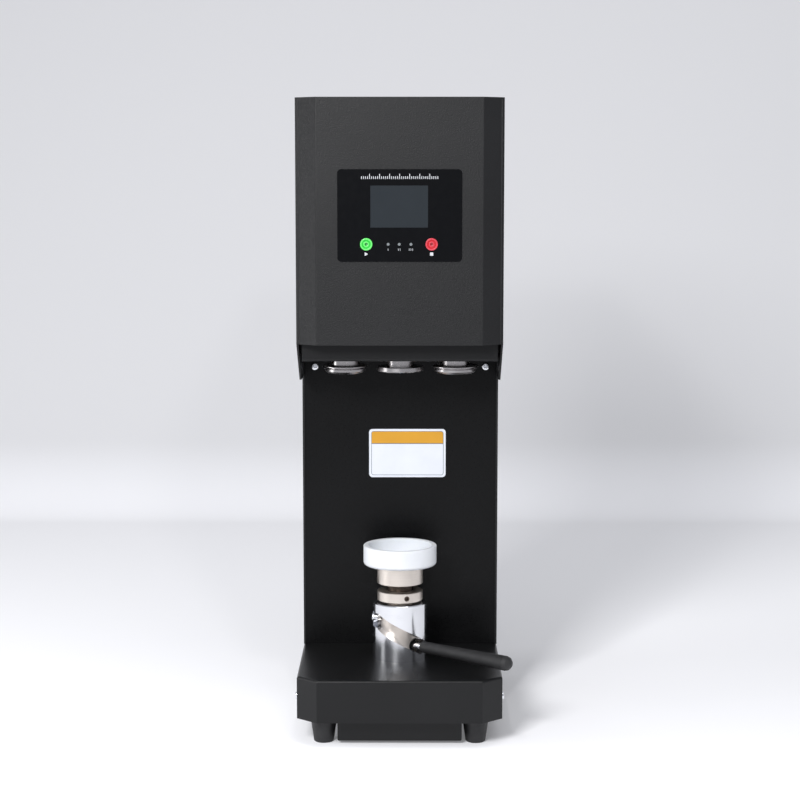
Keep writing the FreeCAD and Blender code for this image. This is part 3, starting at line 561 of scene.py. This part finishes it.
push_cap("start_button", "start_cap", "start_button", [GREEN_RIM_PAINTED_HIGHLIGHT, GREEN, GREEN_DIMPLE_PAINTED_SHADE])
push_cap("stop_button", "stop_cap", "stop_button", [RED_RIM_PAINTED_HIGHLIGHT, RED, RED_DIMPLE_PAINTED_SHADE])
panel_marks()
lamp_marks()
screen_bezel()


# plate on the column

def column_plate():
    """A blank two-tone plate: white field, amber band, a dark line round both, ruled lines."""
    width, height, low, shift = 82.5 * MM, 52.5 * MM, 255.8 * MM, 7.7 * MM
    x = (shift - width / 2, shift + width / 2)
    z = (low, low + height)
    face = COLUMN_LOW.y
    thick, print_t = 0.35 * MM, 0.04 * MM
    data = bmesh.new()
    body = rounded(x, z, 3.6 * MM)
    edge = 0.12 * MM
    prism_xz(data, body, face - thick + edge, face - 0.02 * MM, 0)
    prism_xz(data, rounded((x[0] + edge, x[1] - edge), (z[0] + edge, z[1] - edge), 3.5 * MM),
             face - thick, face - thick + edge, 0)
    rim, line = 2.3 * MM, 0.5 * MM
    inset = lambda d: ((x[0] + d, x[1] - d), (z[0] + d, z[1] - d))
    front = face - thick - print_t
    band_low = z[1] - rim - 13.2 * MM
    frame_xz(data, rounded(*inset(rim), 2.6 * MM), rounded(*inset(rim + line), 2.2 * MM), front, face - thick, 2)
    inner_x, inner_z = inset(rim + line)
    band = rounded((inner_x[0], inner_x[1]), (band_low, inner_z[1]), 2.2 * MM)
    lower = [(px, pz) for px, pz in band if pz > band_low + 2.3 * MM]
    prism_xz(data, lower + [(inner_x[0], band_low), (inner_x[1], band_low)], front, face - thick, 1)
    prism_xz(data, [(inner_x[0], band_low - line * 1.6), (inner_x[1], band_low - line * 1.6),
                    (inner_x[1], band_low), (inner_x[0], band_low)], front, face - thick, 2)
    finish_piece("column_plate", data, [PLATE_WHITE, PLATE_AMBER, PLATE_LINE], "frame", 30)


column_plate()


# ---------------------------------------------------------------- stage

STAGE_UP = (-0.25, -0.60, 0.76)


def backdrop_paint(name, glow):
    """White paper: shaded alike where it lies and where it stands, a little brighter to the eye than
    to the object, and open from behind."""
    s = Shader(name, (0.80, 0.80, 0.82), 0.9, Specular_IOR_Level=0.0)
    out = s.tree.nodes["Material Output"]
    up = s.node("ShaderNodeCombineXYZ", X=STAGE_UP[0], Y=STAGE_UP[1], Z=STAGE_UP[2])
    s.link(up.outputs["Vector"], s.bsdf.inputs["Normal"])
    path = s.node("ShaderNodeLightPath")
    either = s.node("ShaderNodeMath", operation="MAXIMUM")
    s.link(path.outputs["Is Camera Ray"], either.inputs[0])
    s.link(path.outputs["Is Glossy Ray"], either.inputs[1])
    shown = s.node("ShaderNodeEmission", Color=(0.93, 0.935, 0.96, 1), Strength=glow)
    add = s.node("ShaderNodeAddShader")
    mix = s.node("ShaderNodeMixShader")
    s.link(s.bsdf.outputs["BSDF"], add.inputs[0])
    s.link(shown.outputs["Emission"], add.inputs[1])
    s.link(either.outputs["Value"], mix.inputs["Fac"])
    s.link(s.bsdf.outputs["BSDF"], mix.inputs[1])
    s.link(add.outputs["Shader"], mix.inputs[2])
    side = s.node("ShaderNodeNewGeometry")
    clear = s.node("ShaderNodeBsdfTransparent")
    through = s.node("ShaderNodeMixShader")
    s.link(side.outputs["Backfacing"], through.inputs["Fac"])
    s.link(mix.outputs["Shader"], through.inputs[1])
    s.link(clear.outputs["BSDF"], through.inputs[2])
    s.link(through.outputs["Shader"], out.inputs["Surface"])
    return s.material


def backdrop():
    """A floor that sweeps up into a wall behind the machine."""
    near, far, wide, rise, bend = -3.2, 1.23, 4.0, 3.6, 0.12
    steps = 12
    line = [(near, 0.0), (far - bend, 0.0)]
    line += [(far - bend + bend * math.sin(a), bend - bend * math.cos(a))
             for a in (math.pi / 2 * i / steps for i in range(1, steps + 1))]
    line.append((far, rise))
    mesh = bpy.data.meshes.new("backdrop")
    verts = [(x, y, z - 0.0001) for y, z in line for x in (-wide, wide)]
    faces = [(2 * i, 2 * i + 1, 2 * i + 3, 2 * i + 2) for i in range(len(line) - 1)]
    mesh.from_pydata(verts, [], faces)
    for face in mesh.polygons:
        face.use_smooth = True
    mesh.materials.append(backdrop_paint("backdrop", 0.16))
    obj = bpy.data.objects.new("backdrop", mesh)
    bpy.context.scene.collection.objects.link(obj)
    return obj


def lamp_object(name, lamp, place, aim=None):
    obj = bpy.data.objects.new(name, lamp)
    obj.location = place
    if aim is not None:
        obj.rotation_euler = (Vector(aim) - Vector(place)).to_track_quat("-Z", "Y").to_euler()
    bpy.context.scene.collection.objects.link(obj)
    return obj


def area_light(name, place, aim, size, power, color=(1, 1, 1)):
    lamp = bpy.data.lights.new(name, "AREA")
    lamp.shape = "RECTANGLE"
    lamp.size, lamp.size_y = size
    lamp.energy = power
    lamp.color = color
    return lamp_object(name, lamp, place, aim)


def shadow_light(paper, place, power):
    """Lights the backdrop alone, so that the machine throws its outline on it."""
    lamp = bpy.data.lights.new("shadow", "POINT")
    lamp.shadow_soft_size = 0.016
    lamp.energy = power
    lamp.use_nodes = True
    emission = lamp.node_tree.nodes["Emission"]
    even = lamp.node_tree.nodes.new("ShaderNodeLightFalloff")
    even.inputs["Strength"].default_value = 1.0
    lamp.node_tree.links.new(even.outputs["Constant"], emission.inputs["Strength"])
    obj = lamp_object("shadow", lamp, place)
    only = bpy.data.collections.new("paper")
    only.objects.link(paper)
    obj.light_linking.receiver_collection = only


def world():
    """Soft white all round, and the backdrop's white to the camera where the paper is open."""
    made = bpy.data.worlds.new("studio")
    made.use_nodes = True
    tree = made.node_tree
    soft = tree.nodes["Background"]
    soft.inputs["Color"].default_value = (0.92, 0.94, 1.0, 1)
    soft.inputs["Strength"].default_value = 0.52
    shown = tree.nodes.new("ShaderNodeBackground")
    shown.inputs["Color"].default_value = (0.93, 0.935, 0.96, 1)
    path = tree.nodes.new("ShaderNodeLightPath")
    mix = tree.nodes.new("ShaderNodeMixShader")
    tree.links.new(path.outputs["Is Camera Ray"], mix.inputs["Fac"])
    tree.links.new(soft.outputs["Background"], mix.inputs[1])
    tree.links.new(shown.outputs["Background"], mix.inputs[2])
    tree.links.new(mix.outputs["Shader"], tree.nodes["World Output"].inputs["Surface"])
    bpy.context.scene.world = made


def camera():
    """A long lens a little above mid height, looking slightly down at the can axis."""
    lens = bpy.data.cameras.new("camera")
    lens.lens = 84.8
    lens.sensor_width = 36.0
    obj = bpy.data.objects.new("camera", lens)
    away, side, height, dip = 1.957, 0.010, 0.582, 6.87
    obj.location = CAN_AXIS + Vector((side, -away, height))
    obj.rotation_euler = (math.radians(90 - dip), 0, math.atan2(side, away))
    bpy.context.scene.collection.objects.link(obj)
    bpy.context.scene.camera = obj


world()
camera()
PAPER = backdrop()
area_light("key", (-0.58, -1.64, 1.20), (0, 0, 0.42), (0.5, 0.5), 24)
area_light("left", (-1.7, -0.4, 0.6), (0, 0, 0.35), (0.5, 1.3), 7)
area_light("top", (0.3, -0.9, 1.9), (0, 0, 0.2), (1.2, 1.2), 9)
shadow_light(PAPER, (-0.027, -0.42, 0.80), 2.0)
bpy.context.scene.view_settings.view_transform = "Standard"
